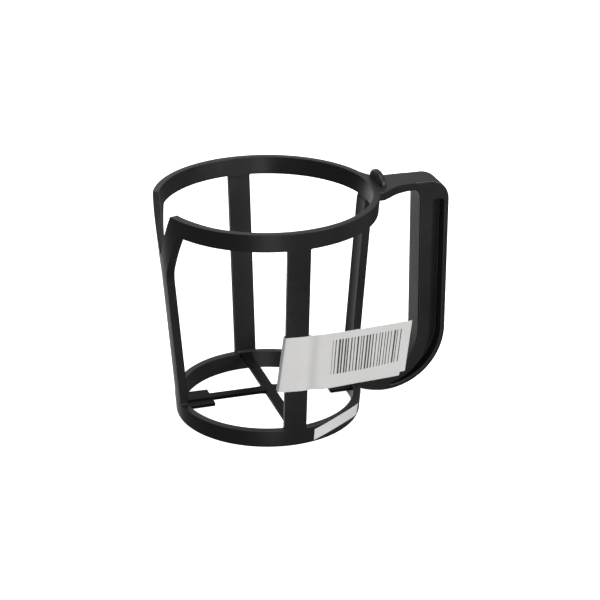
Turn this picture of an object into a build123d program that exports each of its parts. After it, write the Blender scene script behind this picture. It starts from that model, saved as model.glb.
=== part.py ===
from build123d import *
import os
from math import atan, cos, sin, sqrt, tan

os.makedirs("parts", exist_ok=True)

# Bottle cage with a fixed side handle, in millimetres. The Z axis is the axis of the cage, Z = 0 is
# the plane it stands on, +X points to the handle, -Y is the side that carries the paper label.

# Cage wall: a cone, wider at the rim, that every ring, arm and upright is a part of.
rim_diameter = 85.0
foot_diameter = 71.7
cage_height = 88.0
rim_band = 6.7
foot_band = 6.8
band_wall = 2.6
upright_width = 8.8
upright_wall = 2.2
handle_upright_turn = 5.0  # degrees that the handle-side upright stands behind the handle's plane

# Split side: the rim band stops either side of a V, and two slanted arms run down to one stem.
split_gap = 28.0
split_kink = 38.4
vee_drop = 20.5
crotch_drop = 5.0
stem_width = 8.0
stem_wall = 2.4

# Base cross, flush with the top of the foot band: the bottle stands on it.
cross_width = 3.4
cross_thick = 1.6
tie_width = 2.6
tie_thick = 0.9
tab_width = 12.2
tab_reach = 22.8
tab_thick = 1.3

# Handle: a top bar that flares into the rim, a grip of strap, web and outer flange, and a bow that
# comes back to the foot. The flares are what the bar's edges spread beyond its own half width.
handle_width = 11.5
finger_gap = 17.5
grip_depth = 11.0
bar_thick = 3.3
corner_round = 5.5
finger_round = 3.0
strap_thick = 4.6
flange_thick = 2.0
web_thick = 1.6
pocket_drop = 8.0
bow_low = 2.0
bow_depth = 6.5
bow_run = 6.15
front_flare = 6.85
front_flare_blend = 3.4
front_straight = 3.5
rear_flare = 1.65
rear_flare_run = 4.5
rear_flare_round = 3.0

# Thumb rest: a low ridge across the root of the top bar.
ridge_length = 13.6
ridge_rise = 4.2
ridge_thick = 2.4
ridge_standoff = 0.3

# Paper: a flag label looped round the front upright, and a strip on the foot ring.
paper_thick = 0.25
flag_thick = 0.3
label_low = 24.4
label_height = 22.8
label_reach = 43.4
label_slack = 0.15
loop_slack = 2.0
loop_taper = 4.0
strip_height = 4.4
strip_low = 0.6
strip_start = -76.0
strip_sweep = 44.0
strip_thick = 0.2

rim_radius = rim_diameter / 2
foot_radius = foot_diameter / 2
rim_band_low = cage_height - rim_band
wall_lean = (rim_radius - foot_radius) / cage_height
vee_height = cage_height - vee_drop
crotch_height = vee_height - crotch_drop
grip_inner = rim_radius + finger_gap
handle_reach = grip_inner + grip_depth
bar_low = cage_height - bar_thick
bar_end = grip_inner - finger_round
pocket_top = cage_height - pocket_drop
finger_x = foot_radius + bow_run
finger_radius = grip_inner - finger_x
bow_radius = finger_radius + bow_depth
bow_x = handle_reach - bow_radius
bow_height = bow_low + bow_radius


def outer_radius(height):
    return foot_radius + wall_lean * height


def wall_section(low, high, wall, start=0.0):
    """A closed section between two heights, from a depth start to a depth wall inside the cone."""
    with BuildSketch(Plane.XZ) as section:
        with BuildLine():
            Polyline(
                (outer_radius(low) - wall, low),
                (outer_radius(low) - start, low),
                (outer_radius(high) - start, high),
                (outer_radius(high) - wall, high),
                close=True,
            )
        make_face()
    return section.sketch


def cone(low, high, wall):
    """The solid cone inside a wall, to cut a piece back to the wall's inner or outer face."""
    with BuildPart() as core:
        with BuildSketch(Plane.XY.offset(low)):
            Circle(outer_radius(low) - wall)
        with BuildSketch(Plane.XY.offset(high)):
            Circle(outer_radius(high) - wall)
        loft()
    return core.part


def wall_piece(points, wall, side):
    """The part of the wall behind an outline drawn flat in (Y, Z), on the -X or +X side."""
    heights = [z for y, z in points]
    with BuildPart() as piece:
        revolve(wall_section(min(heights), max(heights), wall), axis=Axis.Z)
        with BuildSketch(Plane.YZ):
            with BuildLine():
                Polyline(*points, close=True)
            make_face()
        extrude(amount=side * rim_diameter, mode=Mode.INTERSECT)
    return piece.part


# Rings -------------------------------------------------------------------------------------------
with BuildPart() as foot_ring:
    revolve(wall_section(0, foot_band, band_wall), axis=Axis.Z)

mitre_run = (split_kink - split_gap) / 2 / rim_band


def split_half_width(height):
    return split_gap / 2 + (cage_height - height) * mitre_run


with BuildPart() as rim_ring:
    revolve(wall_section(rim_band_low, cage_height, band_wall), axis=Axis.Z)
    with BuildSketch(Plane.YZ):
        with BuildLine():
            Polyline(
                (split_half_width(cage_height), cage_height),
                (split_half_width(rim_band_low), rim_band_low),
                (-split_half_width(rim_band_low), rim_band_low),
                (-split_half_width(cage_height), cage_height),
                close=True,
            )
        make_face()
    extrude(amount=-rim_diameter, mode=Mode.SUBTRACT)

# Split side --------------------------------------------------------------------------------------
arm_outline = [
    (split_gap / 2, cage_height),
    (split_kink / 2, rim_band_low),
    (stem_width / 2, crotch_height),
    (0, vee_height),
]

with BuildPart() as split_arm_rear:
    add(wall_piece(arm_outline, band_wall, -1))

with BuildPart() as split_arm_front:
    mirror(split_arm_rear.part, about=Plane.XZ)

stem_half = stem_width / 2
stem_outline = [
    (-stem_half, foot_band),
    (stem_half, foot_band),
    (stem_half, crotch_height),
    (0, vee_height),
    (-stem_half, crotch_height),
]

with BuildPart() as split_stem:
    add(wall_piece(stem_outline, stem_wall, -1))

# Uprights ----------------------------------------------------------------------------------------
upright_half = upright_width / 2
upright_outline = [
    (-upright_half, foot_band),
    (upright_half, foot_band),
    (upright_half, rim_band_low),
    (-upright_half, rim_band_low),
]
upright_blank = wall_piece(upright_outline, upright_wall, 1)

with BuildPart() as handle_upright:
    add(upright_blank.rotate(Axis.Z, handle_upright_turn))

with BuildPart() as rear_upright:
    add(upright_blank.rotate(Axis.Z, 90))

with BuildPart() as front_upright:
    add(upright_blank.rotate(Axis.Z, -90))

# Base cross --------------------------------------------------------------------------------------
seat = foot_band


def floor_bar(x_low, x_high, width, top, thick):
    """A flat bar below a top height, cut back to the inner face of the foot ring."""
    with BuildPart() as bar:
        with BuildSketch(Plane.XY.offset(top - thick)):
            with Locations(((x_low + x_high) / 2, 0)):
                Rectangle(x_high - x_low, width)
        extrude(amount=thick)
        add(cone(0, foot_band, band_wall), mode=Mode.INTERSECT)
    return bar.part


cross_half = cross_width / 2

with BuildPart() as cross_bar:
    add(floor_bar(-cross_half, cross_half, foot_diameter, seat, cross_thick))

with BuildPart() as tie_split_side:
    add(floor_bar(-foot_radius, -cross_half, tie_width, seat, tie_thick))

with BuildPart() as tie_handle_side:
    add(floor_bar(cross_half, foot_radius, tie_width, seat, tie_thick))

tab_top = seat - tie_thick

with BuildPart() as tab_split_side:
    add(floor_bar(-foot_radius, -tab_reach, tab_width, tab_top, tab_thick))

with BuildPart() as tab_handle_side:
    add(floor_bar(tab_reach, foot_radius, tab_width, tab_top, tab_thick))

# Handle ------------------------------------------------------------------------------------------
half_width = handle_width / 2

with BuildPart() as handle_top_bar:
    front_start = bar_end - front_straight
    rear_start = rim_radius + rear_flare_run
    flare_angle = atan(front_flare / (front_start - rim_radius))
    front_flare_round = front_flare_blend / tan(flare_angle / 2)
    with BuildSketch(Plane.XY.offset(bar_low)):
        with BuildLine():
            Polyline(
                (0, half_width + rear_flare),
                (rim_radius, half_width + rear_flare),
                (rear_start, half_width),
                (bar_end, half_width),
                (bar_end, -half_width),
                (front_start, -half_width),
                (rim_radius, -half_width - front_flare),
                (0, -half_width - front_flare),
                close=True,
            )
        make_face()
    extrude(amount=bar_thick)
    corners = handle_top_bar.edges().filter_by(Axis.Z)
    fillet(corners.sort_by_distance((front_start, -half_width, bar_low))[0], front_flare_round)
    corners = handle_top_bar.edges().filter_by(Axis.Z)
    fillet(corners.sort_by_distance((rear_start, half_width, bar_low))[0], rear_flare_round)
    add(cone(bar_low, cage_height, 0), mode=Mode.SUBTRACT)

with BuildPart() as handle_corner:
    with BuildSketch(Plane.XZ):
        with BuildLine():
            JernArc((bar_end, bar_low), (1, 0), finger_round, -90)
            Line((grip_inner, bar_low - finger_round), (grip_inner, pocket_top))
            Line((grip_inner, pocket_top), (handle_reach, pocket_top))
            Line((handle_reach, pocket_top), (handle_reach, cage_height - corner_round))
            JernArc((handle_reach, cage_height - corner_round), (0, 1), corner_round, 90)
            Line((handle_reach - corner_round, cage_height), (bar_end, cage_height))
            Line((bar_end, cage_height), (bar_end, bar_low))
        make_face()
    extrude(amount=half_width, both=True)


def grip_length(x_low, x_high, width):
    """A straight length of the grip between the bow and the top of the pocket."""
    with BuildPart() as length:
        with BuildSketch(Plane.XY.offset(bow_height)):
            with Locations(((x_low + x_high) / 2, 0)):
                Rectangle(x_high - x_low, width)
        extrude(amount=pocket_top - bow_height)
    return length.part


strap_radius = finger_radius + strap_thick
flange_radius = bow_radius - flange_thick
bow_quarter = (handle_reach, handle_reach)  # larger than the quarter that the bow runs through

with BuildPart() as grip_strap:
    add(grip_length(grip_inner, grip_inner + strap_thick, handle_width))

with BuildPart() as bow_strap:
    with BuildSketch(Plane.XZ):
        with Locations((finger_x, bow_height)):
            Circle(strap_radius)
            Circle(finger_radius, mode=Mode.SUBTRACT)
        with Locations((bow_x, bow_height)):
            Circle(flange_radius, mode=Mode.INTERSECT)
        with Locations((finger_x, bow_height)):
            Rectangle(*bow_quarter, align=(Align.MIN, Align.MAX), mode=Mode.INTERSECT)
    extrude(amount=half_width, both=True)

with BuildPart() as outer_flange:
    add(grip_length(handle_reach - flange_thick, handle_reach, handle_width))
    with BuildSketch(Plane.XZ):
        with Locations((bow_x, bow_height)):
            Circle(bow_radius)
            Circle(flange_radius, mode=Mode.SUBTRACT)
        with Locations((finger_x, bow_height)):
            Rectangle(*bow_quarter, align=(Align.MIN, Align.MAX), mode=Mode.INTERSECT)
    extrude(amount=half_width, both=True)

with BuildPart() as grip_web:
    add(grip_length(grip_inner + strap_thick, handle_reach - flange_thick, web_thick))
    with BuildSketch(Plane.XZ):
        with Locations((bow_x, bow_height)):
            Circle(flange_radius)
        with Locations((finger_x, bow_height)):
            Circle(strap_radius, mode=Mode.SUBTRACT)
        with Locations((finger_x, bow_height)):
            Rectangle(*bow_quarter, align=(Align.MIN, Align.MAX), mode=Mode.INTERSECT)
    extrude(amount=web_thick / 2, both=True)

with BuildPart() as handle_foot:
    with BuildSketch(Plane.XZ):
        with Locations((bow_x, bow_height)):
            Circle(bow_radius)
        with Locations((finger_x, bow_height)):
            Circle(finger_radius, mode=Mode.SUBTRACT)
            Rectangle(*bow_quarter, align=(Align.MAX, Align.MAX), mode=Mode.INTERSECT)
    extrude(amount=half_width, both=True)
    add(cone(0, cage_height, 0), mode=Mode.SUBTRACT)

# Thumb rest --------------------------------------------------------------------------------------
with BuildPart() as thumb_rest:
    with BuildSketch(Plane.YZ.offset(rim_radius + ridge_standoff)):
        with Locations((0, cage_height)):
            Ellipse(ridge_length / 2, ridge_rise)
            Rectangle(
                ridge_length, ridge_rise, align=(Align.CENTER, Align.MIN), mode=Mode.INTERSECT
            )
    extrude(amount=ridge_thick)

# Paper -------------------------------------------------------------------------------------------
# The label's section is drawn looking down the front upright: x runs along the rim, y out of the
# upright's face. The plane leans with the wall, so that the loop keeps its slack all the way up.
lean = atan(wall_lean)
label_plane = Plane(
    origin=(0, -outer_radius(label_low), label_low),
    x_dir=(1, 0, 0),
    z_dir=(0, -sin(lean), cos(lean)),
)
inner_radius = outer_radius(label_low) - upright_wall
edge_depth = upright_wall + inner_radius - sqrt(inner_radius**2 - upright_half**2)
loop_left = -(upright_half + loop_slack)
loop_right = upright_half + label_slack
front_face = label_slack
back_face = -(edge_depth + label_slack)
flag_start = loop_right + loop_taper
flag_mid = (front_face + back_face) / 2

with BuildPart() as barcode_label:
    with BuildSketch(label_plane):
        with BuildLine():
            Polyline(
                (loop_left - paper_thick, -front_face - paper_thick),
                (loop_right, -front_face - paper_thick),
                (flag_start, -flag_mid - flag_thick / 2),
                (label_reach, -flag_mid - flag_thick / 2),
                (label_reach, -flag_mid + flag_thick / 2),
                (flag_start, -flag_mid + flag_thick / 2),
                (loop_right, -back_face + paper_thick),
                (loop_left - paper_thick, -back_face + paper_thick),
                close=True,
            )
        make_face()
        with BuildLine():
            Polyline(
                (loop_left, -front_face),
                (loop_right, -front_face),
                (flag_start - flag_thick, -flag_mid),
                (loop_right, -back_face),
                (loop_left, -back_face),
                close=True,
            )
        make_face(mode=Mode.SUBTRACT)
    extrude(amount=label_height)

strip_section = wall_section(strip_low, strip_low + strip_height, 0, -strip_thick)

with BuildPart() as origin_sticker:
    revolve(
        strip_section.rotate(Axis.Z, strip_start), axis=Axis.Z, revolution_arc=strip_sweep
    )

nodes = {
    "foot_ring": foot_ring.part,
    "rim_ring": rim_ring.part,
    "split_arm_rear": split_arm_rear.part,
    "split_arm_front": split_arm_front.part,
    "split_stem": split_stem.part,
    "front_upright": front_upright.part,
    "rear_upright": rear_upright.part,
    "handle_upright": handle_upright.part,
    "cross_bar": cross_bar.part,
    "tie_split_side": tie_split_side.part,
    "tie_handle_side": tie_handle_side.part,
    "tab_split_side": tab_split_side.part,
    "tab_handle_side": tab_handle_side.part,
    "handle_top_bar": handle_top_bar.part,
    "handle_corner": handle_corner.part,
    "grip_strap": grip_strap.part,
    "bow_strap": bow_strap.part,
    "outer_flange": outer_flange.part,
    "grip_web": grip_web.part,
    "handle_foot": handle_foot.part,
    "thumb_rest": thumb_rest.part,
    "barcode_label": barcode_label.part,
    "origin_sticker": origin_sticker.part,
}
for name, solid in nodes.items():
    solid.label = name
    export_step(solid, f"parts/{name}.step")
    print(name, len(solid.solids()), round(solid.volume, 2))
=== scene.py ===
"""A bottle cage with a fixed side handle: one satin black moulding, a paper flag label and a small
paper strip."""

import math

import bmesh
import bpy
from mathutils import Matrix, Vector


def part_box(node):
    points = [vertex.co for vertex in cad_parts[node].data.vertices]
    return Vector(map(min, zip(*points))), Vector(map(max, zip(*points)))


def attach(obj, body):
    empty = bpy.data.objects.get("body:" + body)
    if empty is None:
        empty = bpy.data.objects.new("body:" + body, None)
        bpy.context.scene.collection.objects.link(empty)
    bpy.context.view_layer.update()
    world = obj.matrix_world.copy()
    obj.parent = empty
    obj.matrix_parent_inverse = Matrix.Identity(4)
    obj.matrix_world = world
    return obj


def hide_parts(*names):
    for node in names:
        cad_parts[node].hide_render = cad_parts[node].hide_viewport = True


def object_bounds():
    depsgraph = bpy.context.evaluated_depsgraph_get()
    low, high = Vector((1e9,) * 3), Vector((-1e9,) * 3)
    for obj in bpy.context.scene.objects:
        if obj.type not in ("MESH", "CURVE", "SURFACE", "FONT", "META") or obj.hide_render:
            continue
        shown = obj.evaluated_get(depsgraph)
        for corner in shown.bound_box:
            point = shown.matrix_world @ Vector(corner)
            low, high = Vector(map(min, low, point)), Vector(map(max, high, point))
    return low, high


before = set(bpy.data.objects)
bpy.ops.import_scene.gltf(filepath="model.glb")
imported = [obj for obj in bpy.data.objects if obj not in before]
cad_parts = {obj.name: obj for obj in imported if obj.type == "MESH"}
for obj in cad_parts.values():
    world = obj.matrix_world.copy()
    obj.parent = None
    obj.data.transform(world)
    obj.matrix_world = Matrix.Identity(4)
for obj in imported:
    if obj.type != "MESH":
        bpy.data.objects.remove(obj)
cad_low, cad_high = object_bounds()

MM = 0.001
TURN = math.tau

# Sizes read from the frame ------------------------------------------------------------------------
rim_low, rim_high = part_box("rim_ring")
foot_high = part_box("foot_ring")[1]
grip_low, grip_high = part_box("grip_strap")
flange_low, flange_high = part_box("outer_flange")
bar_box_low, bar_box_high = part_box("handle_top_bar")
web_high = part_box("grip_web")[1]
foot_bar_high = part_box("handle_foot")[1]
cross_low, cross_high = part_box("cross_bar")
tab_low, tab_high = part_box("tab_split_side")
rest_low, rest_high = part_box("thumb_rest")
stem_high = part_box("split_stem")[1]
arm_low, arm_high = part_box("split_arm_rear")
upright_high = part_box("front_upright")[1]

# The rim band reaches down a little past its box.
RIM_DEEPER = 0.2 * MM

CAGE_TOP = rim_high.z
RIM_LOW = rim_low.z - RIM_DEEPER
FOOT_TOP = foot_high.z
RIM_RADIUS = rim_high.y
LEAN = (rim_high.y - foot_high.y) / (CAGE_TOP - FOOT_TOP)
UPRIGHT_HALF = upright_high.x
STEM_HALF = stem_high.y
HANDLE_HALF = grip_high.y

# Sizes of the moulding that the frame's boxes don't give ------------------------------------------
BAND_WALL = 2.6 * MM

# How much deeper than the wall each member is, and the heights over which that is eased in at a band.
FOOT_EXTRA = 0.3 * MM
RIM_EXTRA = 0.1 * MM
UPRIGHT_EXTRA = 0.0 * MM
HANDLE_POST_EXTRA = 0.45 * MM
ARM_FRONT_EXTRA = 0.7 * MM
ARM_REAR_EXTRA = 0.1 * MM
DEPTH_STEPS = (0.35 * MM, 0.7 * MM, 1.05 * MM, 1.4 * MM)
DEPTH_RUN = DEPTH_STEPS[-1]

# How far the moulding leans and draws in over its height, and how much of that comes back at the foot.
LEAN_OVER = 0.40 * MM
TIGHTER = 0.0132
BACK_SHARE = 0.45
BACK_FROM = 0.75

# The split: the rim's two ends, the arms that slant down from them, and the Y where they meet the stem.
SPLIT_HALF = 14.0 * MM
KINK_HALF = arm_high.y
VEE_HEIGHT = 67.5 * MM
CROTCH_HEIGHT = arm_low.z

# Angles round the cage, from the handle. The uprights stand a little out of true.
HANDLE_TURN = math.radians(5)
FRONT_TURN = -TURN / 4 + 0.003
REAR_TURN = TURN / 4 - 0.014
REAR_FOOT_TURN = REAR_TURN - 0.009
SPLIT_TURN = TURN / 2

# Where the wall is parted: an arm's or the stem's reach to each side, an upright's reach to each side and
# in towards the axis, and the stub of each upright that stays on its band.
ARM_SIDE = 25 * MM
POST_SIDE = 15 * MM
POST_INSIDE = 20 * MM
STUB = 0.9 * MM

# How far free edges are rounded and in how many steps, and the steps of an outline's corner.
EDGE = 0.27 * MM
EDGE_STEPS = 3
CORNER_STEPS = 5

# The wall is drawn flat at one radius, from its seam on, and is rolled up in facets.
FACET = math.radians(2)
SEAM = math.radians(-45)
UNROLL = 40.0 * MM


def outer_radius(height):
    """Radius of the cage wall's outer face at a height."""
    return RIM_RADIUS + LEAN * (height - CAGE_TOP)


def eased(share):
    """A share held between 0 and 1, with a soft start and end."""
    share = min(max(share, 0), 1)
    return share * share * (3 - 2 * share)


def drift(height, x=0.0):
    """How far the moulding has drifted along x at a height and a distance from the axis: it leans a little
    towards the handle and draws in a little lower down, and comes part of the way back at the foot."""
    fall = (CAGE_TOP - height) / CAGE_TOP
    back = BACK_SHARE * eased((fall - BACK_FROM) / (1 - BACK_FROM))
    return (LEAN_OVER - TIGHTER * x) * fall * (1 - back)


# Mesh helpers -------------------------------------------------------------------------------------
def loop_through(bm, corners, normal_axis):
    """A flat closed outline as one face. Each corner is (a, b, round), with its place in the plane across
    normal_axis and how far the round runs back along its edges. A fourth value is the round's steps."""
    verts = []
    for corner in corners:
        a, b = corner[0], corner[1]
        place = {"x": (0, a, b), "y": (a, 0, b), "z": (a, b, 0)}[normal_axis]
        verts.append(bm.verts.new(place))
    bm.faces.new(verts)
    for vert, corner in zip(verts, corners):
        if corner[2] > 0:
            steps = corner[3] if len(corner) > 3 else CORNER_STEPS
            bmesh.ops.bevel(
                bm, geom=[vert], offset=corner[2], offset_type="OFFSET", affect="VERTICES",
                segments=steps, profile=0.5, material=-1, clamp_overlap=False,
            )


def fill_between(bm):
    """Turns the outlines in bm into one flat face region, with the inner outlines left as holes."""
    bmesh.ops.delete(bm, geom=bm.faces[:], context="FACES_ONLY")
    bmesh.ops.triangle_fill(bm, edges=bm.edges[:], use_beauty=True)


def plate(bm, thickness, axis, edge=EDGE, steps=EDGE_STEPS, flare=False):
    """Gives the flat region in bm a thickness along axis. Its edges are rounded off, or with flare they run
    out in a fillet into the walls round it."""
    out = -1 if flare else 1
    middle = thickness / 2 - out * edge
    direction = Vector({"x": (1, 0, 0), "y": (0, 1, 0), "z": (0, 0, 1)}[axis])
    bmesh.ops.recalc_face_normals(bm, faces=bm.faces[:])
    low_faces = bm.faces[:]
    made = bmesh.ops.extrude_face_region(bm, geom=low_faces, use_keep_orig=True)
    moved = [g for g in made["geom"] if isinstance(g, bmesh.types.BMVert)]
    high_faces = [g for g in made["geom"] if isinstance(g, bmesh.types.BMFace)]
    bmesh.ops.translate(bm, verts=bm.verts[:], vec=-middle * direction)
    bmesh.ops.translate(bm, verts=moved, vec=2 * middle * direction)
    bmesh.ops.recalc_face_normals(bm, faces=bm.faces[:])
    for side in (low_faces, high_faces):
        before = 0.0
        for step in range(1, steps + 1):
            angle = step * math.pi / 2 / steps
            run = edge * (math.cos(before) - math.cos(angle))
            rise = out * edge * (math.sin(angle) - math.sin(before))
            bmesh.ops.inset_region(
                bm, faces=side, thickness=run, depth=rise, use_boundary=True, use_even_offset=True
            )
            before = angle


def cut(bm, point, normal, fill=True, clear=True):
    """Cuts bm with a plane and clears what lies on the side that normal points to."""
    made = bmesh.ops.bisect_plane(
        bm, geom=bm.verts[:] + bm.edges[:] + bm.faces[:], dist=1e-7,
        plane_co=point, plane_no=normal, clear_outer=clear,
    )
    if fill:
        rim = [g for g in made["geom_cut"] if isinstance(g, bmesh.types.BMEdge)]
        bmesh.ops.holes_fill(bm, edges=rim, sides=0)


def part_of(whole, *planes):
    """A copy of whole without what lies beyond each plane, given as its point and its normal."""
    part = whole.copy()
    for point, normal in planes:
        cut(part, point, normal, fill=False)
    return part


def weld(bm):
    """Merges the points that lie on each other."""
    bmesh.ops.remove_doubles(bm, verts=bm.verts[:], dist=2e-6)


def close_holes(bm):
    """Puts a face in every opening that the cuts have left."""
    bmesh.ops.holes_fill(bm, edges=[e for e in bm.edges if e.is_boundary], sides=0)


def joined(parts):
    """Puts several parts into one, welded where they meet and closed all round."""
    carried = bpy.data.meshes.new("carried")
    whole = bmesh.new()
    for part in parts:
        part.to_mesh(carried)
        whole.from_mesh(carried)
        part.free()
    bpy.data.meshes.remove(carried)
    weld(whole)
    close_holes(whole)
    return whole


def move(bm, x, y, z):
    """Moves all of bm."""
    bmesh.ops.translate(bm, verts=bm.verts[:], vec=(x, y, z))


def turn(bm, angle, axis):
    """Turns all of bm about one of the frame's axes."""
    bmesh.ops.rotate(bm, verts=bm.verts[:], cent=(0, 0, 0), matrix=Matrix.Rotation(angle, 3, axis))


def piece(name, bm, material, slot_name, *nodes):
    """Makes the finished piece from bm, in place of its CAD nodes."""
    bmesh.ops.dissolve_degenerate(bm, dist=1e-7, edges=bm.edges[:])
    bmesh.ops.recalc_face_normals(bm, faces=bm.faces[:])
    mesh = bpy.data.meshes.new(name)
    bm.to_mesh(mesh)
    bm.free()
    mesh.shade_smooth()
    mesh.set_sharp_from_angle(angle=math.radians(42))
    mesh.materials.append(material)
    made = bpy.data.objects.new(name, mesh)
    bpy.context.scene.collection.objects.link(made)
    flat = made.modifiers.new("flat faces", "WEIGHTED_NORMAL")
    flat.keep_sharp = True
    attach(made, "root")
    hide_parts(*nodes)
    return made


# Cage wall ----------------------------------------------------------------------------------------
def wall_place(angle, half, height):
    """Where a point that lies half a width from a member's middle is on the unrolled wall."""
    return (angle + math.asin(half / outer_radius(height))) * UNROLL


def window(bm, low_left, low_right, top):
    """An opening of the wall: its two lower corners, then its top corners from right to left."""
    loop_through(bm, [low_left, low_right] + top, "y")


def unrolled_wall():
    """The whole cage wall laid out flat, with the angle round the cage along x and the height along z."""
    bm = bmesh.new()
    front, handle, rear = FRONT_TURN + TURN, HANDLE_TURN, REAR_TURN
    end_low = SEAM - 4 * FACET
    end_high = SEAM + TURN + 4 * FACET
    fillet = 0.4 * MM
    tip = 0.4 * MM
    vee = 0.8 * MM
    kink = 0.7 * MM
    crotch = 3.4 * MM
    crotch_low = CROTCH_HEIGHT - 1.2 * MM
    front_tip = SPLIT_HALF - 0.6 * MM
    front_kink = KINK_HALF - 2.0 * MM
    front_stem = STEM_HALF + 0.3 * MM

    def place(angle, half, height, size):
        return (wall_place(angle, half, height), height, size)

    loop_through(bm, [
        (end_low * UNROLL, 0, 0),
        (end_high * UNROLL, 0, 0),
        (end_high * UNROLL, FOOT_TOP, 0),
        place(front, UPRIGHT_HALF, FOOT_TOP, fillet),
        place(front, UPRIGHT_HALF, RIM_LOW, fillet),
        (end_high * UNROLL, RIM_LOW, 0),
        (end_high * UNROLL, CAGE_TOP, 0),
        place(SPLIT_TURN, front_tip, CAGE_TOP, tip),
        place(SPLIT_TURN, 0, VEE_HEIGHT, vee),
        place(SPLIT_TURN, -SPLIT_HALF, CAGE_TOP, tip),
        (end_low * UNROLL, CAGE_TOP, 0),
        (end_low * UNROLL, RIM_LOW, 0),
        place(handle, -UPRIGHT_HALF, RIM_LOW, fillet),
        place(handle, -UPRIGHT_HALF, FOOT_TOP, fillet),
        (end_low * UNROLL, FOOT_TOP, 0),
    ], "y")
    window(
        bm,
        place(handle, UPRIGHT_HALF, FOOT_TOP, fillet),
        place(REAR_FOOT_TURN, -UPRIGHT_HALF, FOOT_TOP, fillet),
        [place(rear, -UPRIGHT_HALF, RIM_LOW, fillet), place(handle, UPRIGHT_HALF, RIM_LOW, fillet)],
    )
    window(
        bm,
        place(REAR_FOOT_TURN, UPRIGHT_HALF, FOOT_TOP, fillet),
        place(SPLIT_TURN, -STEM_HALF, FOOT_TOP, fillet),
        [
            place(SPLIT_TURN, -STEM_HALF, crotch_low, crotch),
            place(SPLIT_TURN, -KINK_HALF, RIM_LOW, kink),
            place(rear, UPRIGHT_HALF, RIM_LOW, fillet),
        ],
    )
    window(
        bm,
        place(SPLIT_TURN, front_stem, FOOT_TOP, fillet),
        place(front, -UPRIGHT_HALF, FOOT_TOP, fillet),
        [
            place(front, -UPRIGHT_HALF, RIM_LOW, fillet),
            place(SPLIT_TURN, front_kink, RIM_LOW, kink),
            place(SPLIT_TURN, front_stem, crotch_low, crotch),
        ],
    )
    fill_between(bm)
    plate(bm, BAND_WALL, "y")
    return bm


def extra_depth(angle, height):
    """How much deeper than the band's wall the moulding is, eased in where a member meets a band."""
    past_split = angle % TURN - SPLIT_TURN
    from_split = abs(past_split)
    from_handle = abs((angle % TURN - HANDLE_TURN + TURN / 2) % TURN - TURN / 2)
    arms_end = math.radians(50)
    arms_ease = math.radians(20)
    split_ease = math.radians(24)
    post_reach = math.radians(30)
    rise = eased((height - FOOT_TOP) / DEPTH_RUN)
    if from_split < arms_end:
        to_front = eased(past_split / split_ease + 0.5)
        arm = ARM_REAR_EXTRA + (ARM_FRONT_EXTRA - ARM_REAR_EXTRA) * to_front
        near = eased((arms_end - from_split) / arms_ease)
        member = RIM_EXTRA + (arm - RIM_EXTRA) * near
    else:
        post = HANDLE_POST_EXTRA if from_handle < post_reach else UPRIGHT_EXTRA
        member = post + (RIM_EXTRA - post) * (1 - eased((RIM_LOW - height) / DEPTH_RUN))
    return FOOT_EXTRA + (member - FOOT_EXTRA) * rise


def roll_up(bm):
    """Bends the unrolled wall round the cage's axis, with its depth changed between the bands."""
    for vert in bm.verts:
        depth = vert.co.y + BAND_WALL / 2
        angle = vert.co.x / UNROLL
        height = vert.co.z
        if depth > BAND_WALL / 2:
            depth += extra_depth(angle, height)
        radius = outer_radius(height) - depth
        x = radius * math.cos(angle)
        vert.co = (x + drift(height, x), radius * math.sin(angle), height)


def cage_wall():
    """The closed cage wall that every ring, arm and upright is cut from, so that they meet flush."""
    bm = unrolled_wall()
    cut(bm, ((SEAM + TURN) * UNROLL, 0, 0), (1, 0, 0), fill=False)
    cut(bm, (SEAM * UNROLL, 0, 0), (-1, 0, 0), fill=False)
    steps = round(TURN / FACET)
    for step in range(1, steps):
        cut(bm, ((SEAM + step * FACET) * UNROLL, 0, 0), (1, 0, 0), fill=False, clear=False)
    for run in DEPTH_STEPS:
        for height in (FOOT_TOP + run, RIM_LOW - run):
            cut(bm, (0, 0, height), (0, 0, 1), fill=False, clear=False)
    roll_up(bm)
    weld(bm)
    bmesh.ops.recalc_face_normals(bm, faces=bm.faces[:])
    return bm


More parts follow.
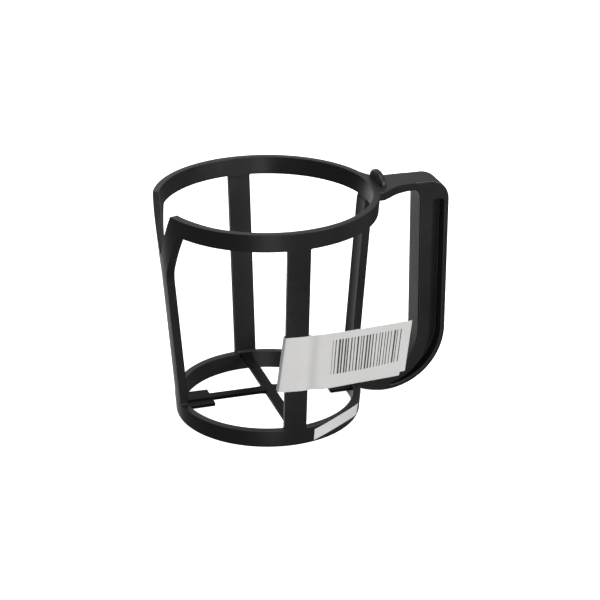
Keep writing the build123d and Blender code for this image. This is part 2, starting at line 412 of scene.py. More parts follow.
def members(wall, plastic):
    """Cuts the wall into its rings, arms, stem and uprights."""
    low_cut, high_cut = FOOT_TOP + STUB, RIM_LOW - STUB
    up, down = (0, 0, 1), (0, 0, -1)
    mitre = Vector((0, KINK_HALF - SPLIT_HALF, RIM_LOW - CAGE_TOP))
    mitre_out = Vector((0, -mitre.z, mitre.y)).normalized()
    gable = Vector((0, STEM_HALF, CROTCH_HEIGHT - VEE_HEIGHT))
    gable_up = Vector((0, -gable.z, gable.y)).normalized()
    mitre_at = Vector((0, SPLIT_HALF, CAGE_TOP))
    gable_at = Vector((0, 0, VEE_HEIGHT))

    foot = wall.copy()
    cut(foot, (0, 0, low_cut), up)
    close_holes(foot)
    piece("foot_band", foot, plastic, "cage_plastic", "foot_ring")

    rim = part_of(wall, ((0, 0, high_cut), down))
    parts = [part_of(rim, ((0, 0, 0), (-1, 0, 0)))]
    for side in (1, -1):
        inward = (0, -side * mitre_out.y, -mitre_out.z)
        parts.append(part_of(
            rim,
            ((0, 0, 0), (1, 0, 0)),
            ((0, 0, 0), (0, -side, 0)),
            ((0, side * mitre_at.y, mitre_at.z), inward),
        ))
    rim.free()
    piece("rim_band", joined(parts), plastic, "cage_plastic", "rim_ring")

    arms = (("split_arm_rear_side", "split_arm_rear", 1), ("split_arm_front_side", "split_arm_front", -1))
    for name, node_name, side in arms:
        arm = part_of(wall, ((0, 0, 0), (1, 0, 0)), ((0, side * ARM_SIDE, 0), (0, side, 0)))
        cut(arm, (0, 0, 0), (0, -side, 0))
        cut(arm, (0, side * mitre_at.y, mitre_at.z), (0, side * mitre_out.y, mitre_out.z))
        cut(arm, gable_at, (0, -side * gable_up.y, -gable_up.z))
        piece(name, arm, plastic, "cage_plastic", node_name)

    stem = part_of(
        wall,
        ((0, 0, 0), (1, 0, 0)),
        ((0, ARM_SIDE, 0), (0, 1, 0)),
        ((0, -ARM_SIDE, 0), (0, -1, 0)),
    )
    cut(stem, (0, 0, low_cut), down)
    for side in (1, -1):
        cut(stem, gable_at, (0, side * gable_up.y, gable_up.z))
    piece("stem", stem, plastic, "cage_plastic", "split_stem")

    sides = (
        ("front_post", "front_upright", (0, -1, 0)),
        ("rear_post", "rear_upright", (0, 1, 0)),
        ("handle_side_post", "handle_upright", (1, 0, 0)),
    )
    for name, node_name, out in sides:
        post = wall.copy()
        cut(post, POST_INSIDE * Vector(out), -Vector(out), fill=False)
        cut(post, (0, 0, low_cut), down)
        cut(post, (0, 0, high_cut), up)
        across = Vector((out[1], -out[0], 0))
        for side in (1, -1):
            cut(post, side * POST_SIDE * across, side * across, fill=False)
        piece(name, post, plastic, "cage_plastic", node_name)
    wall.free()


# Handle -------------------------------------------------------------------------------------------
GRIP_IN = grip_low.x
GRIP_OUT = flange_high.x
STRAP_OUT = grip_high.x
FLANGE_IN = web_high.x
BOW_LOW = flange_low.z
BOW_HEIGHT = grip_low.z
BOW_RADIUS = BOW_HEIGHT - BOW_LOW
FINGER_X = foot_bar_high.x
FINGER_RADIUS = GRIP_IN - FINGER_X
STRAP_RADIUS = STRAP_OUT - FINGER_X
FLANGE_RADIUS = FLANGE_IN - (GRIP_OUT - BOW_RADIUS)
POCKET_TOP = grip_high.z
BAR_LOW = bar_box_low.z
BAR_END = bar_box_high.x
CORNER_ROUND = 8.2 * MM
FINGER_ROUND = 4.2 * MM
POCKET_END = 49.0 * MM
POCKET_ROUND = 1.2 * MM
WEB_HALF = web_high.y + 0.5 * MM
WEB_FILLET = 0.3 * MM
HANDLE_EDGE = 0.55 * MM

# The finger gap's lower line, and the grip's inner face at that line and at the top.
FINGER_LOW = BOW_HEIGHT - FINGER_RADIUS
GRIP_LOW_IN = GRIP_IN - 0.1 * MM
GRIP_TOP_IN = GRIP_IN - 0.8 * MM

# The handle's foot: where its underside and its upper side bend down into the band, and its end.
FOOT_UNDER_BEND = (41.15 * MM, BOW_LOW, 5.3 * MM, 10)
FOOT_OVER_BEND = (39.24 * MM, FINGER_LOW, 2.7 * MM, 8)
FOOT_END = 34.9 * MM
FOOT_END_LOW = (FOOT_END, 4.85 * MM, 0)
FOOT_END_HIGH = (FOOT_END, 9.85 * MM, 0)

# Where the frame is parted: just inside the pocket, so that the strap and the flange come apart.
TOP_PART = POCKET_TOP - 0.05 * MM
BOW_PART = POCKET_END + 0.05 * MM


def pocket_outline(bm):
    """The recess between the grip's strap and its outer flange, down to its thin end in the bow."""
    tail = FINGER_X + 2 * MM
    tail_high = BOW_HEIGHT - STRAP_RADIUS + 0.12 * MM
    strap_bend = STRAP_RADIUS - 2.05 * MM
    loop_through(bm, [
        (STRAP_OUT, POCKET_TOP, POCKET_ROUND),
        (FLANGE_IN, POCKET_TOP, POCKET_ROUND),
        (FLANGE_IN, BOW_HEIGHT - FLANGE_RADIUS, FLANGE_RADIUS, 40),
        (tail, BOW_HEIGHT - FLANGE_RADIUS, 0),
        (tail, tail_high, 0),
        (STRAP_OUT, BOW_HEIGHT - STRAP_RADIUS, strap_bend, 40),
    ], "y")


def handle_side():
    """The handle's side outline, from the top bar's end round to its foot, and that of its pocket."""
    bm = bmesh.new()
    pocket_outline(bm)
    cut(bm, (POCKET_END, 0, 0), (-1, 0, 0), fill=False)
    ends = [v for v in bm.verts if abs(v.co.x - POCKET_END) < 1e-6]
    for end in ends:
        bmesh.ops.bevel(
            bm, geom=[end], offset=0.3 * MM, affect="VERTICES", segments=3, profile=0.5, material=-1,
            clamp_overlap=False,
        )
    loop_through(bm, [
        (BAR_END, CAGE_TOP, 0),
        (GRIP_OUT, CAGE_TOP, CORNER_ROUND, 12),
        (GRIP_OUT, BOW_LOW, BOW_RADIUS, 44),
        FOOT_UNDER_BEND,
        FOOT_END_LOW,
        FOOT_END_HIGH,
        FOOT_OVER_BEND,
        (GRIP_LOW_IN, FINGER_LOW, FINGER_RADIUS - 0.2 * MM, 36),
        (GRIP_TOP_IN, BAR_LOW, FINGER_ROUND, 10),
        (BAR_END, BAR_LOW, 0),
    ], "y")
    return bm


def handle_frame():
    """The handle's solid rim round its pocket."""
    bm = handle_side()
    fill_between(bm)
    plate(bm, 2 * HANDLE_HALF, "y", edge=HANDLE_EDGE, steps=4)
    return bm


def linked_to(start):
    """All the vertices of the loose part that start belongs to."""
    found, edge = {start}, [start]
    while edge:
        vert = edge.pop()
        for link in vert.link_edges:
            other = link.other_vert(vert)
            if other not in found:
                found.add(other)
                edge.append(other)
    return found


def keep_outer(bm, outer):
    """Of two loose parts side by side, keeps the one further out along x, or the other one."""
    far = linked_to(max(bm.verts, key=lambda v: v.co.x))
    drop = [v for v in bm.verts if (v in far) != outer]
    bmesh.ops.delete(bm, geom=drop, context="VERTS")


def handle_members(plastic):
    """Cuts the handle's frame into its corner, strap, flange, bow and foot."""
    whole = handle_frame()
    up, down = (0, 0, 1), (0, 0, -1)
    outward, inward = (1, 0, 0), (-1, 0, 0)

    corner = whole.copy()
    cut(corner, (BAR_END, 0, 0), inward)
    cut(corner, (0, 0, TOP_PART), down)
    piece("corner_bend", corner, plastic, "cage_plastic", "handle_corner")

    strap = part_of(whole, ((0, 0, TOP_PART), up), ((0, 0, BOW_HEIGHT), down))
    keep_outer(strap, False)
    close_holes(strap)
    piece("grip_inner_strap", strap, plastic, "cage_plastic", "grip_strap")

    flange = part_of(whole, ((0, 0, TOP_PART), up), ((BOW_PART, 0, 0), inward))
    keep_outer(flange, True)
    close_holes(flange)
    piece("grip_outer_flange", flange, plastic, "cage_plastic", "outer_flange")

    bow_right = part_of(whole, ((0, 0, BOW_HEIGHT), up), ((BOW_PART, 0, 0), inward))
    keep_outer(bow_right, False)
    bow_left = part_of(
        whole,
        ((0, 0, BOW_HEIGHT), up),
        ((BOW_PART, 0, 0), outward),
        ((FINGER_X, 0, 0), inward),
    )
    piece("bow_inner_strap", joined([bow_left, bow_right]), plastic, "cage_plastic", "bow_strap")

    foot = part_of(whole, ((0, 0, FINGER_LOW + 4 * MM), up))
    cut(foot, (FINGER_X, 0, 0), outward)
    piece("foot_of_handle", foot, plastic, "cage_plastic", "handle_foot")
    whole.free()


def web(plastic):
    """The thin web down the middle of the pocket, running out into the walls in a fillet."""
    bm = bmesh.new()
    pocket_outline(bm)
    cut(bm, (POCKET_END, 0, 0), (-1, 0, 0), fill=False)
    fill_between(bm)
    plate(bm, 2 * WEB_HALF, "y", edge=WEB_FILLET, steps=5, flare=True)
    piece("pocket_web", bm, plastic, "cage_plastic", "grip_web")


def top_bar(plastic):
    """The bar from the rim out to the corner, flared where it runs into the rim."""
    bm = bmesh.new()
    root = RIM_RADIUS - 2 * EDGE
    rear_edge, front_edge = bar_box_high.y, bar_box_low.y
    rear_root = rear_edge + 7.0 * MM
    past_end = BAR_END + 2 * MM
    front_bend = (BAR_END - 5.3 * MM, -HANDLE_HALF, 4.6 * MM, 14)
    rear_bend = (RIM_RADIUS + 4.5 * MM, HANDLE_HALF, 1.8 * MM, 6)
    rear_flare = (RIM_RADIUS + 0.6 * MM, rear_edge + 0.2 * MM, 1.5 * MM, 4)
    root_length = 15 * MM
    loop_through(bm, [
        (root * math.cos(math.asin(front_edge / root)), front_edge, 0),
        (RIM_RADIUS, front_edge, 0),
        front_bend,
        (past_end, -HANDLE_HALF, 0),
        (past_end, HANDLE_HALF, 0),
        rear_bend,
        rear_flare,
        (root * math.cos(math.asin(rear_root / root)) + 0.3 * MM, rear_root, 0),
    ], "z")
    inner = [e for e in bm.edges if all(v.co.x < RIM_RADIUS - EDGE for v in e.verts)]
    root_edge = [e for e in inner if abs(e.verts[0].co.y - e.verts[1].co.y) > root_length]
    bmesh.ops.subdivide_edges(bm, edges=root_edge, cuts=14)
    for vert in bm.verts:
        if vert.co.x < root:
            vert.co.x = math.sqrt(root**2 - vert.co.y**2)
    fill_between(bm)
    plate(bm, CAGE_TOP - BAR_LOW, "z", edge=EDGE)
    move(bm, 0, 0, (CAGE_TOP + BAR_LOW) / 2)
    cut(bm, (BAR_END, 0, 0), (1, 0, 0))
    piece("top_bar", bm, plastic, "cage_plastic", "handle_top_bar")


RIDGE_SUNK = 0.5 * MM
RIDGE_EDGE = 0.9 * MM


def thumb_ridge(plastic):
    """The low rounded ridge across the root of the top bar."""
    bm = bmesh.new()
    half = rest_high.y
    rise = rest_high.z - rest_low.z
    bmesh.ops.create_circle(bm, cap_ends=True, radius=1, segments=48)
    bmesh.ops.scale(bm, verts=bm.verts[:], vec=(half, rise, 1))
    turn(bm, TURN / 4, "X")
    turn(bm, TURN / 4, "Z")
    cut(bm, (0, 0, -RIDGE_SUNK), (0, 0, -1), fill=False)
    plate(bm, rest_high.x - rest_low.x, "x", edge=RIDGE_EDGE, steps=5)
    move(bm, (rest_low.x + rest_high.x) / 2, 0, rest_low.z)
    piece("thumb_ridge", bm, plastic, "cage_plastic", "thumb_rest")


# Base ---------------------------------------------------------------------------------------------
FOOT_INSIDE = outer_radius(FOOT_TOP) - BAND_WALL
BASE_EDGE = 0.2 * MM
BAR_HALF = cross_high.x + 0.35 * MM
BAR_SHIFT = 0.9 * MM
BAR_FLARE = 0.9 * MM
TIE_HALF = 1.9 * MM
TIE_DEPTH = 1.5 * MM
TIE_SHIFT = 0.85 * MM
TIE_BAR_FLARE = 0.7 * MM
TIE_FOOT_FLARE = 0.6 * MM
FLARE_RUN = 1.6 * MM
FLARE_ROUND = FLARE_RUN * 0.8
TAB_IN = -tab_high.x - 0.4 * MM
TAB_HALF = tab_high.y + 0.2 * MM
TAB_ROUND = 0.5 * MM


def base_bar(low, high, end_low, end_high, half, flare_low, flare_high):
    """A flat bar along x whose ends spread into what they meet."""
    bm = bmesh.new()
    run_low, run_high = end_low + FLARE_RUN, end_high - FLARE_RUN
    loop_through(bm, [
        (end_low, -half - flare_low, 0),
        (run_low, -half, FLARE_ROUND),
        (run_high, -half, FLARE_ROUND),
        (end_high, -half - flare_high, 0),
        (end_high, half + flare_high, 0),
        (run_high, half, FLARE_ROUND),
        (run_low, half, FLARE_ROUND),
        (end_low, half + flare_low, 0),
    ], "z")
    fill_between(bm)
    plate(bm, high - low, "z", edge=BASE_EDGE)
    move(bm, 0, 0, (low + high) / 2)
    return bm


def base_cross(plastic):
    """One deep bar, and two thin ties that run from it to the foot band."""
    reach = FOOT_INSIDE + 2 * BASE_EDGE
    bar = base_bar(cross_low.z, FOOT_TOP, -reach, reach, BAR_HALF, BAR_FLARE, BAR_FLARE)
    turn(bar, TURN / 4, "Z")
    move(bar, BAR_SHIFT, 0, 0)
    piece("base_bar", bar, plastic, "cage_plastic", "cross_bar")
    tie_low = FOOT_TOP - TIE_DEPTH
    ties = (("base_tie_handle", "tie_handle_side", 1), ("base_tie_split", "tie_split_side", -1))
    for name, node_name, side in ties:
        start = BAR_HALF - 2 * BASE_EDGE + side * BAR_SHIFT
        end = reach + side * drift(FOOT_TOP)
        tie = base_bar(tie_low, FOOT_TOP, start, end, TIE_HALF, TIE_BAR_FLARE, TIE_FOOT_FLARE)
        turn(tie, 0 if side > 0 else TURN / 2, "Z")
        move(tie, 0, TIE_SHIFT, 0)
        piece(name, tie, plastic, "cage_plastic", node_name)


def base_tabs(plastic):
    """A flat tab under each tie. The two stand a little out of line with each other."""
    tabs = (
        ("base_tab_handle", "tab_handle_side", 1, TAB_IN + 1.0 * MM, -0.75 * MM, 0),
        ("base_tab_split", "tab_split_side", -1, TAB_IN, 1.0 * MM, 0.35 * MM),
    )
    for name, node_name, side, inner, across, lift in tabs:
        bm = bmesh.new()
        outer = FOOT_INSIDE + 1 * MM
        loop_through(bm, [
            (side * inner, -TAB_HALF, TAB_ROUND),
            (side * outer, -TAB_HALF, 0),
            (side * outer, TAB_HALF, 0),
            (side * inner, TAB_HALF, TAB_ROUND),
        ], "z")
        fill_between(bm)
        plate(bm, tab_high.z - tab_low.z, "z", edge=BASE_EDGE)
        move(bm, drift(FOOT_TOP), across, (tab_high.z + tab_low.z) / 2 + lift)
        piece(name, bm, plastic, "cage_plastic", node_name)


# Materials ----------------------------------------------------------------------------------------
class Sock:
    """A socket in a node tree, so that shader sums read as sums."""

    def __init__(self, tree, socket):
        self.tree = tree
        self.socket = socket

    def _math(self, operation, other, swapped=False):
        values = [other, self] if swapped else [self, other]
        return node(self.tree, "ShaderNodeMath", {"operation": operation}, dict(enumerate(values)))[0]

    def __add__(self, other):
        return self._math("ADD", other)

    __radd__ = __add__

    def __sub__(self, other):
        return self._math("SUBTRACT", other)

    def __rsub__(self, other):
        return self._math("SUBTRACT", other, True)

    def __mul__(self, other):
        return self._math("MULTIPLY", other)

    __rmul__ = __mul__

    def __gt__(self, other):
        return self._math("GREATER_THAN", other)

    def __lt__(self, other):
        return self._math("LESS_THAN", other)


def node(tree, kind, settings=None, inputs=None):
    """Adds a node: its settings first, then its sockets' values or links. Returns its outputs."""
    made = tree.nodes.new(kind)
    for name, value in (settings or {}).items():
        if name == "stops":
            elements = made.color_ramp.elements
            while len(elements) < len(value):
                elements.new(0.5)
            for element, (place, colour) in zip(elements, value):
                element.position = place
                element.color = colour
        else:
            setattr(made, name, value)
    for name, value in (inputs or {}).items():
        socket = made.inputs[name]
        if isinstance(value, Sock):
            tree.links.new(value.socket, socket)
        else:
            socket.default_value = value
    return [Sock(tree, out) for out in made.outputs]


def blank_material(name):
    """A new material without any nodes, and its node tree."""
    material = bpy.data.materials.new(name)
    material.use_nodes = True
    material.node_tree.nodes.clear()
    return material, material.node_tree


def mix(tree, share, low, high):
    """A colour between low and high."""
    return node(tree, "ShaderNodeMix", {"data_type": "RGBA"}, {0: share, 6: low, 7: high})[2]


def ramp(tree, value, low, high):
    """0 where value is at low, 1 where it is at high, and eased between."""
    return node(tree, "ShaderNodeMapRange", {"interpolation_type": "SMOOTHSTEP"}, {
        "Value": value, "From Min": low, "From Max": high,
    })[0]


def split_xyz(tree, vector):
    """The three parts of a vector."""
    return node(tree, "ShaderNodeSeparateXYZ", {}, {"Vector": vector})


def noise(tree, place, scale, detail, roughness):
    """Soft random marks, finer where the scale is higher."""
    return node(tree, "ShaderNodeTexNoise", {}, {
        "Vector": place, "Scale": scale, "Detail": detail, "Roughness": roughness,
    })[0]


def relief(tree, height, strength, distance):
    """A surface normal that follows a height."""
    return node(tree, "ShaderNodeBump", {}, {
        "Height": height, "Strength": strength, "Distance": distance,
    })[0]


def surface(tree, inputs):
    """Ends a material: its shader with these inputs, and its output."""
    shader = node(tree, "ShaderNodeBsdfPrincipled", {}, inputs)[0]
    node(tree, "ShaderNodeOutputMaterial", {}, {"Surface": shader})


def black_plastic(name, shine):
    """Moulded black plastic: a fine grain, soft flow marks, a little dust, and painted shade low down."""
    material, tree = blank_material(name)
    place = node(tree, "ShaderNodeTexCoord")[3]
    broad = noise(tree, place, 38.0, 3.0, 0.55)
    mottled = noise(tree, place, 420.0, 4.0, 0.6)
    grain = noise(tree, place, 3600.0, 2.0, 0.5)
    specks = noise(tree, place, 1500.0, 1.0, 0.4)
    dust = node(tree, "ShaderNodeValToRGB", {
        "stops": [(0.69, (0, 0, 0, 1)), (0.78, (1, 1, 1, 1))],
    }, {"Fac": specks})[0]
    tone = node(tree, "ShaderNodeMapRange", {}, {
        "Value": broad * 0.7 + mottled * 0.3, "From Min": 0.3, "From Max": 0.7, "To Min": 0.0, "To Max": 1.0,
    })[0]
    deep = mix(tree, tone, (0.0070, 0.0074, 0.0074, 1), (0.0120, 0.0126, 0.0126, 1))
    worn = mix(tree, dust * 0.35, deep, (0.05, 0.05, 0.048, 1))
    # Painted shade: the colour is taken halfway to black below 6 mm and eased back by 18 mm, for the shade
    # the walls cast round the base.
    low_shade_colour = mix(tree, 0.5, worn, (0.004, 0.004, 0.004, 1))
    clear_of_low_shade = ramp(tree, split_xyz(tree, place)[2], 6.0 * MM, 18.0 * MM)
    surface(tree, {
        "Base Color": mix(tree, clear_of_low_shade, low_shade_colour, worn),
        "Roughness": 0.28 + broad * 0.14 + mottled * 0.10 + dust * 0.15,
        "Normal": relief(tree, grain * 0.6 + mottled * 0.4, 0.16, 0.12 * MM),
        "IOR": 1.47,
        "Specular IOR Level": shine,
    })
    return material


def between(value, low, high):
    """1 where value lies between low and high."""
    return (value > low) * (value < high)


def label_paper():
    """White label paper: faint fibre, a printed block of plain bars, and a painted shade along its fold."""
    material, tree = blank_material("label_paper")
    place = node(tree, "ShaderNodeTexCoord")[3]
    sheet = node(tree, "ShaderNodeUVMap", {"uv_map": "sheet"})[0]
    u, v = split_xyz(tree, sheet)[:2]
    fibre = noise(tree, place, 900.0, 5.0, 0.65)
    cloudy = noise(tree, place, 70.0, 2.0, 0.5)
    paper = mix(tree, cloudy * 0.6 + fibre * 0.4, (0.66, 0.65, 0.635, 1), (0.79, 0.785, 0.775, 1))
    step = u * (1 / BAR_PITCH)
    module = node(tree, "ShaderNodeMath", {"operation": "FLOOR"}, {0: step})[0]
    spot = node(tree, "ShaderNodeTexWhiteNoise", {"noise_dimensions": "1D"}, {"W": module + 17.0})[0]
    width = node(tree, "ShaderNodeTexWhiteNoise", {"noise_dimensions": "1D"}, {"W": module + 71.0})[0]
    start = 0.05 + spot * 0.35
    bar = (step - module > start) * (step - module < start + 0.26 + width * width * 0.45)
    inside = between(u, BARS_LOW.x, BARS_HIGH.x) * between(v, BARS_LOW.y, BARS_HIGH.y)
    bars = bar * inside
    # Painted shade: the paper is greyed in a band along the fold, for the shade of the crease.
    fold = ramp(tree, u, 2.5 * MM, 6.0 * MM) * ramp(tree, u, 9.5 * MM, 6.5 * MM)
    paper = mix(tree, fold * 0.3, paper, (0.50, 0.50, 0.49, 1))
    ink = mix(tree, cloudy, (0.012, 0.012, 0.013, 1), (0.028, 0.028, 0.030, 1))
    surface(tree, {
        "Base Color": mix(tree, bars * 0.93, paper, ink),
        "Roughness": 0.62 + fibre * 0.2 - bars * 0.12,
        "Normal": relief(tree, fibre, 0.22, 0.08 * MM),
    })
    return material


def strip_paper():
    """The small strip's paper, whiter and smoother than the label, with a trace of grime."""
    material, tree = blank_material("strip_paper")
    place = node(tree, "ShaderNodeTexCoord")[3]
    fibre = noise(tree, place, 1100.0, 4.0, 0.6)
    cloudy = noise(tree, place, 160.0, 3.0, 0.6)
    colour = mix(tree, cloudy * 0.7 + fibre * 0.3, (0.56, 0.56, 0.55, 1), (0.78, 0.78, 0.775, 1))
    surface(tree, {
        "Base Color": colour,
        "Roughness": 0.5 + cloudy * 0.2,
        "Normal": relief(tree, fibre, 0.2, 0.06 * MM),
    })
    return material


# Paper --------------------------------------------------------------------------------------------
PAPER = 0.22 * MM
LABEL_TALL = 22.9 * MM
FLAG_START = 4.4 * MM
FLAG_END = 44.1 * MM

# The rear sheet's pattern is moved this far off, so that the bars are only on the front one.
REAR_APART = 1.0

# The block of bars on the front sheet, and the room that each bar has.
BARS_LOW = Vector((13.6, 5.3)) * MM
BARS_HIGH = Vector((40.5, 19.9)) * MM
BAR_PITCH = 1.2 * MM

# How far the label's lower edge is shifted along: at the post, more at the flag's free end, more again on
# its rear sheet, and round the post.
SHIFT_AT_POST = 1.0 * MM
SHIFT_AT_END = 0.6 * MM
SHIFT_AT_REAR = 1.8 * MM
SHIFT_ROUND_POST = 1.5 * MM
ROUND_POST = 9 * MM

# The flag's soft bulge, the curl of its lower free corner, and the dent along its fold.
BULGE = 0.5 * MM
CURL = 0.8 * MM
DENT = 0.3 * MM
DENT_AT = 5.7 * MM
DENT_RUN = 1.7 * MM

# The edges of the label's front and rear sheets, as (distance along the sheet, height) in mm.
FRONT_TOP = ((-6.8, 46.5), (3.9, 45.95), (18.9, 46.4), (32.3, 46.9), (44.1, 47.2))
FRONT_FOOT = ((-6.8, 24.9), (-3.5, 23.9), (4.5, 23.3), (25.0, 24.1), (41.0, 25.5), (44.1, 25.6))
REAR_TOP = ((-6.8, 46.0), (3.9, 44.7), (12.0, 45.4), (20.0, 46.2), (32.3, 46.6), (44.1, 46.9))
REAR_FOOT = ((-6.8, 24.0), (-3.0, 23.3), (4.6, 22.97), (12.7, 23.0), (25.1, 23.7), (41.2, 23.9))


def height_at(edge, x):
    """The height of one of the label's edges at a distance along the sheet."""
    for (x_low, z_low), (x_high, z_high) in zip(edge, edge[1:]):
        if x <= x_high * MM:
            break
    share = (x - x_low * MM) / ((x_high - x_low) * MM)
    return (z_low + (z_high - z_low) * share) * MM


def label_path():
    """The label's run round the front post seen from above: (x, outward, how far to the rear, steps)."""
    out = 0.30 * MM
    back = -3.05 * MM
    return [
        (FLAG_END, out - 0.1 * MM, 0, 44),
        (10.0 * MM, out, 0, 10),
        (FLAG_START, out, 0, 8),
        (-4.1 * MM, out, 0, 2),
        (-4.55 * MM, out - 0.15 * MM, 0.1, 2),
        (-4.72 * MM, out - 0.6 * MM, 0.3, 2),
        (-4.72 * MM, back + 0.7 * MM, 0.8, 2),
        (-4.5 * MM, back + 0.2 * MM, 1, 2),
        (-4.0 * MM, back, 1, 6),
        (5.0 * MM, back, 1, 5),
        (8.9 * MM, out - 0.62 * MM, 1, 3),
        (10.5 * MM, out - 0.36 * MM, 1, 30),
        (FLAG_END - 0.5 * MM, out - 0.46 * MM, 1, 0),
    ]


def between_points(path):
    """Every point of the label's run, with each stretch of it split into its steps."""
    points = []
    for here, there in zip(path, path[1:]):
        for step in range(here[3]):
            share = step / here[3]
            points.append([a + (b - a) * share for a, b in zip(here[:3], there[:3])])
    points.append(list(path[-1][:3]))
    return points


def label_piece(paper):
    """One strip of paper, looped round the front post and stuck to itself to make a flag."""
    points = between_points(label_path())
    bm = bmesh.new()
    bmesh.ops.create_grid(bm, x_segments=len(points) - 1, y_segments=16, size=0.5)
    sheet = bm.loops.layers.uv.new("sheet")
    lean = math.atan(LEAN)
    out = Vector((0, -math.cos(lean), -math.sin(lean)))
    flat = {}
    for vert in bm.verts:
        x, outward, rear = points[round((vert.co.x + 0.5) * (len(points) - 1))]
        share = vert.co.y + 0.5
        flat[vert] = (x, share * LABEL_TALL + rear * REAR_APART)
        foot = height_at(FRONT_FOOT, x) * (1 - rear) + height_at(REAR_FOOT, x) * rear
        top = height_at(FRONT_TOP, x) * (1 - rear) + height_at(REAR_TOP, x) * rear
        height = foot + (top - foot) * share
        far = max(x - FLAG_START, 0) / (FLAG_END - FLAG_START)
        side = (-SHIFT_AT_POST - SHIFT_AT_END * far * far - SHIFT_AT_REAR * far * rear) * (1 - share)
        if x < FLAG_START:
            side -= SHIFT_ROUND_POST * (1 - share) * eased((FLAG_START - x) / ROUND_POST)
        curl = BULGE * math.sin(far * math.pi * 0.9) - CURL * far * far * (1 - share)
        dent = (1 - rear) * DENT * math.exp(-((x - DENT_AT) / DENT_RUN) ** 2)
        place = Vector((x + side + drift(height), -outer_radius(height), height))
        vert.co = place + out * (outward + curl - dent)
    for face in bm.faces:
        for loop in face.loops:
            loop[sheet].uv = flat[loop.vert]
    bmesh.ops.recalc_face_normals(bm, faces=bm.faces[:])
    bmesh.ops.solidify(bm, geom=bm.faces[:], thickness=PAPER)
    piece("flag_label", bm, paper, "label_paper", "barcode_label")


# The strip's run round the foot band, how it is stuck on a little askew, and its lifted end.
STRIP_START = math.radians(-77.5)
STRIP_SWEEP = math.radians(43.5)
STRIP_LOW = 0.75 * MM
STRIP_TALL = 4.6 * MM
STRIP_ARCH = 1.9 * MM
STRIP_CLIMB = 0.3 * MM
STRIP_SKEW = 0.004
STRIP_PAPER = 0.12 * MM
STRIP_GAP = 0.02 * MM
LIFT_FROM = 0.93
LIFT = 0.14 * MM


def strip_piece(paper):
    """The small paper strip stuck round the foot band."""
    bm = bmesh.new()
    bmesh.ops.create_grid(bm, x_segments=30, y_segments=5, size=0.5)
    for vert in bm.verts:
        along = vert.co.x + 0.5
        share = vert.co.y + 0.5
        arch = STRIP_ARCH * math.sin(along * math.pi)
        height = STRIP_LOW + STRIP_TALL * share + arch + STRIP_CLIMB * along
        angle = STRIP_START + STRIP_SWEEP * along + STRIP_SKEW * (share - 0.5)
        lift = LIFT * share * max(along - LIFT_FROM, 0) / (1 - LIFT_FROM)
        radius = outer_radius(height) + STRIP_GAP + lift
        x = radius * math.cos(angle)
        vert.co = (x + drift(height, x), radius * math.sin(angle), height)
    bmesh.ops.recalc_face_normals(bm, faces=bm.faces[:])
    bmesh.ops.solidify(bm, geom=bm.faces[:], thickness=STRIP_PAPER)
    piece("foot_strip", bm, paper, "sticker_paper", "origin_sticker")


# Stage --------------------------------------------------------------------------------------------
FLOOR_GAP = 0.05 * MM


def floor():
    """A plain pale floor, wide enough to fill the view behind the cage."""
    bm = bmesh.new()
    bmesh.ops.create_grid(bm, x_segments=1, y_segments=1, size=6.0)
    move(bm, 0, 0, cad_low.z - FLOOR_GAP)
    mesh = bpy.data.meshes.new("floor")
    bm.to_mesh(mesh)
    bm.free()
    material, tree = blank_material("pale_floor")
    surface(tree, {
        "Base Color": (0.86, 0.86, 0.86, 1), "Roughness": 0.9, "Specular IOR Level": 0.1,
        "Emission Color": (1, 1, 1, 1), "Emission Strength": 1.0,
    })
    mesh.materials.append(material)
    made = bpy.data.objects.new("floor", mesh)
    bpy.context.scene.collection.objects.link(made)
    made.visible_glossy = False
    made.visible_diffuse = False
    made.visible_shadow = False


def lamp(name, place, size, power, target):
    """A rectangular soft light that faces target."""
    data = bpy.data.lights.new(name, "AREA")
    data.shape = "RECTANGLE"
    data.size = size[0]
    data.size_y = size[1]
    data.energy = power
    made = bpy.data.objects.new(name, data)
    made.location = place
    made.rotation_mode = "QUATERNION"
    made.rotation_quaternion = (Vector(target) - Vector(place)).to_track_quat("-Z", "Y")
    bpy.context.scene.collection.objects.link(made)


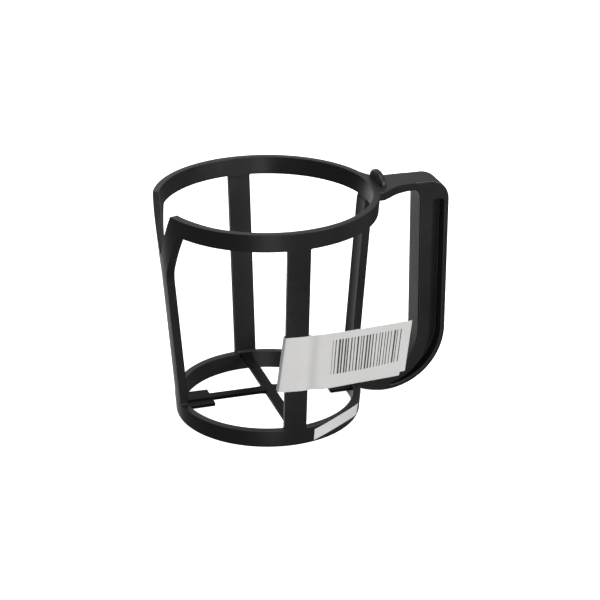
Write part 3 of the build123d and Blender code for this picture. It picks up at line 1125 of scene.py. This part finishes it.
def surroundings():
    """The room's light: dim in front and to the right, bright behind and to the left, soft from above."""
    world = bpy.data.worlds.new("studio")
    world.use_nodes = True
    bpy.context.scene.world = world
    tree = world.node_tree
    tree.nodes.clear()
    x, y, z = split_xyz(tree, node(tree, "ShaderNodeTexCoord")[0])
    behind = ramp(tree, y, 0.78, 0.95) * ramp(tree, x, 0.75, -0.1)
    below = ramp(tree, z, 0.15, -0.35)
    above = ramp(tree, z, 0.2, 0.9)
    strength = 0.15 + behind * (0.8 + below * 0.3) + above * 0.35
    light = node(tree, "ShaderNodeBackground", {}, {"Color": (1, 1, 1, 1), "Strength": strength})[0]
    node(tree, "ShaderNodeOutputWorld", {}, {"Surface": light})


def studio():
    """Soft light from a wide box in front and above, a box overhead and a narrow strip by the camera."""
    bpy.context.scene.view_settings.view_transform = "Standard"
    surroundings()
    middle = (cad_low + cad_high) / 2
    lamp("front_box", (0.75, -1.0, 0.62), (0.9, 0.7), 14.5, middle)
    lamp("top_box", (-0.2, 0.2, 1.5), (1.2, 1.2), 8.0, middle)
    lamp("strip_box", (-0.21, -0.98, 0.0), (0.09, 1.1), 2.0, middle)


def camera():
    """A long lens from the front, a little to the left and above."""
    data = bpy.data.cameras.new("camera")
    data.sensor_width = 36
    data.lens = 117.6
    made = bpy.data.objects.new("camera", data)
    made.location = (-0.1919, -0.6562, 0.3462)
    made.rotation_mode = "QUATERNION"
    look = Vector((0.2730, 0.8731, -0.4039)).to_track_quat("-Z", "Y")
    made.rotation_quaternion = look @ Matrix.Rotation(math.radians(0.14), 3, "Z").to_quaternion()
    bpy.context.scene.collection.objects.link(made)
    bpy.context.scene.camera = made


def main():
    """Builds the stage and every piece of the cage."""
    camera()
    studio()
    floor()
    plastic = black_plastic("satin_black_plastic", 0.5)
    members(cage_wall(), plastic)
    handle_members(plastic)
    web(plastic)
    top_bar(plastic)
    thumb_ridge(plastic)
    # Painted shade: the base pieces get a copy of the same plastic with its reflections turned well down,
    # for the shade the cage's walls cast on them.
    base_shade_plastic = black_plastic("base_shade_black_plastic", 0.08)
    base_cross(base_shade_plastic)
    base_tabs(base_shade_plastic)
    label_piece(label_paper())
    strip_piece(strip_paper())


main()
